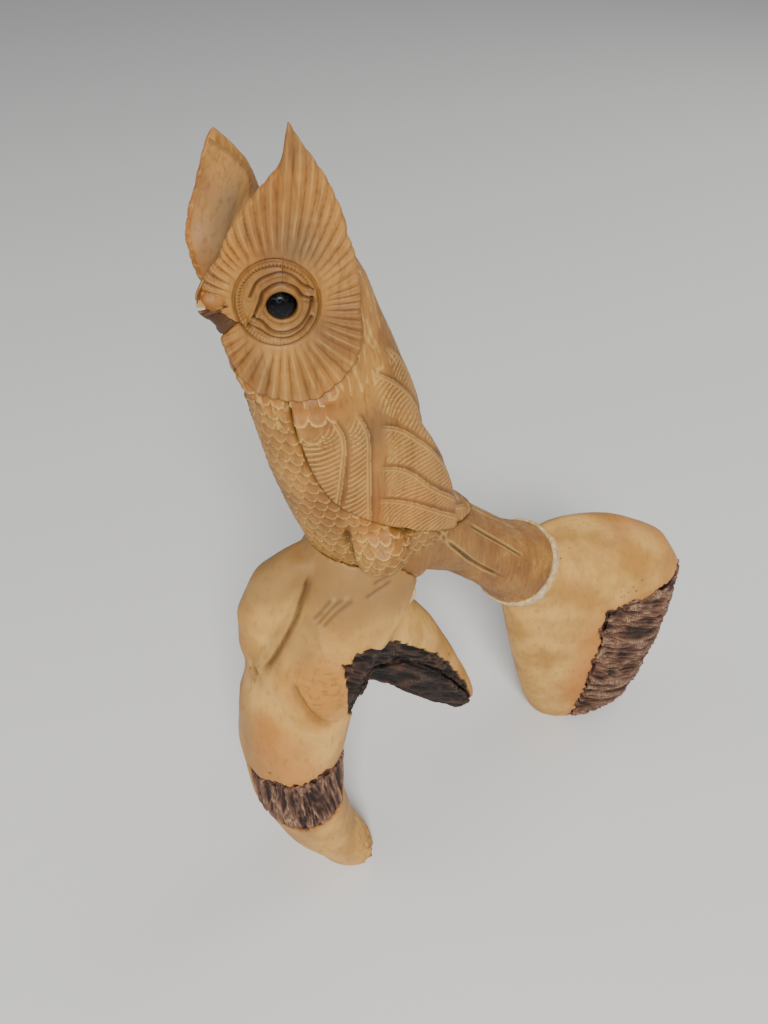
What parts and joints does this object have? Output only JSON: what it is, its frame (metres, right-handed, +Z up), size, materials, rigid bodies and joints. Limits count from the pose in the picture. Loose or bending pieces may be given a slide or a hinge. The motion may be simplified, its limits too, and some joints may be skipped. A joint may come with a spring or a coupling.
{
  "type": "owl figurine",
  "caption": "Carved owl perched on a forked burl, its tail running into a second flared burl; stands on two flat feet as an ornament.",
  "frame": {"origin": "on the resting plane, under the middle of the bounding box", "axes": "+Z up; the owl looks along -Y, its tail points along +Y and its left side is +X"},
  "size_m": [0.0596, 0.1838, 0.2716],
  "materials": {
    "carved_wood": "satin, waxed, with pale scratched lines",
    "burl_wood": "smooth satin, sanded",
    "dark_host_wood": "rough, torn fibres",
    "torn_host_wood": "rough, torn grey-brown fibres",
    "wood_filler": "matt, wood dust and glue",
    "dowel_wood": "plain",
    "eye_bead": "polished black"
  },
  "bodies": {
    "root": {"owl_carving": "carved_wood", "left_eye": "eye_bead", "right_eye": "eye_bead", "front_flare": "burl_wood", "rear_flare": "burl_wood", "arch_host_wood": "dark_host_wood", "notch_host_wood": "torn_host_wood", "rear_host_wood": "torn_host_wood", "tail_filler": "wood_filler", "leg_filler": "wood_filler", "leg_dowel": "dowel_wood", "tail_dowel": "dowel_wood"}
  },
  "joints": []
}
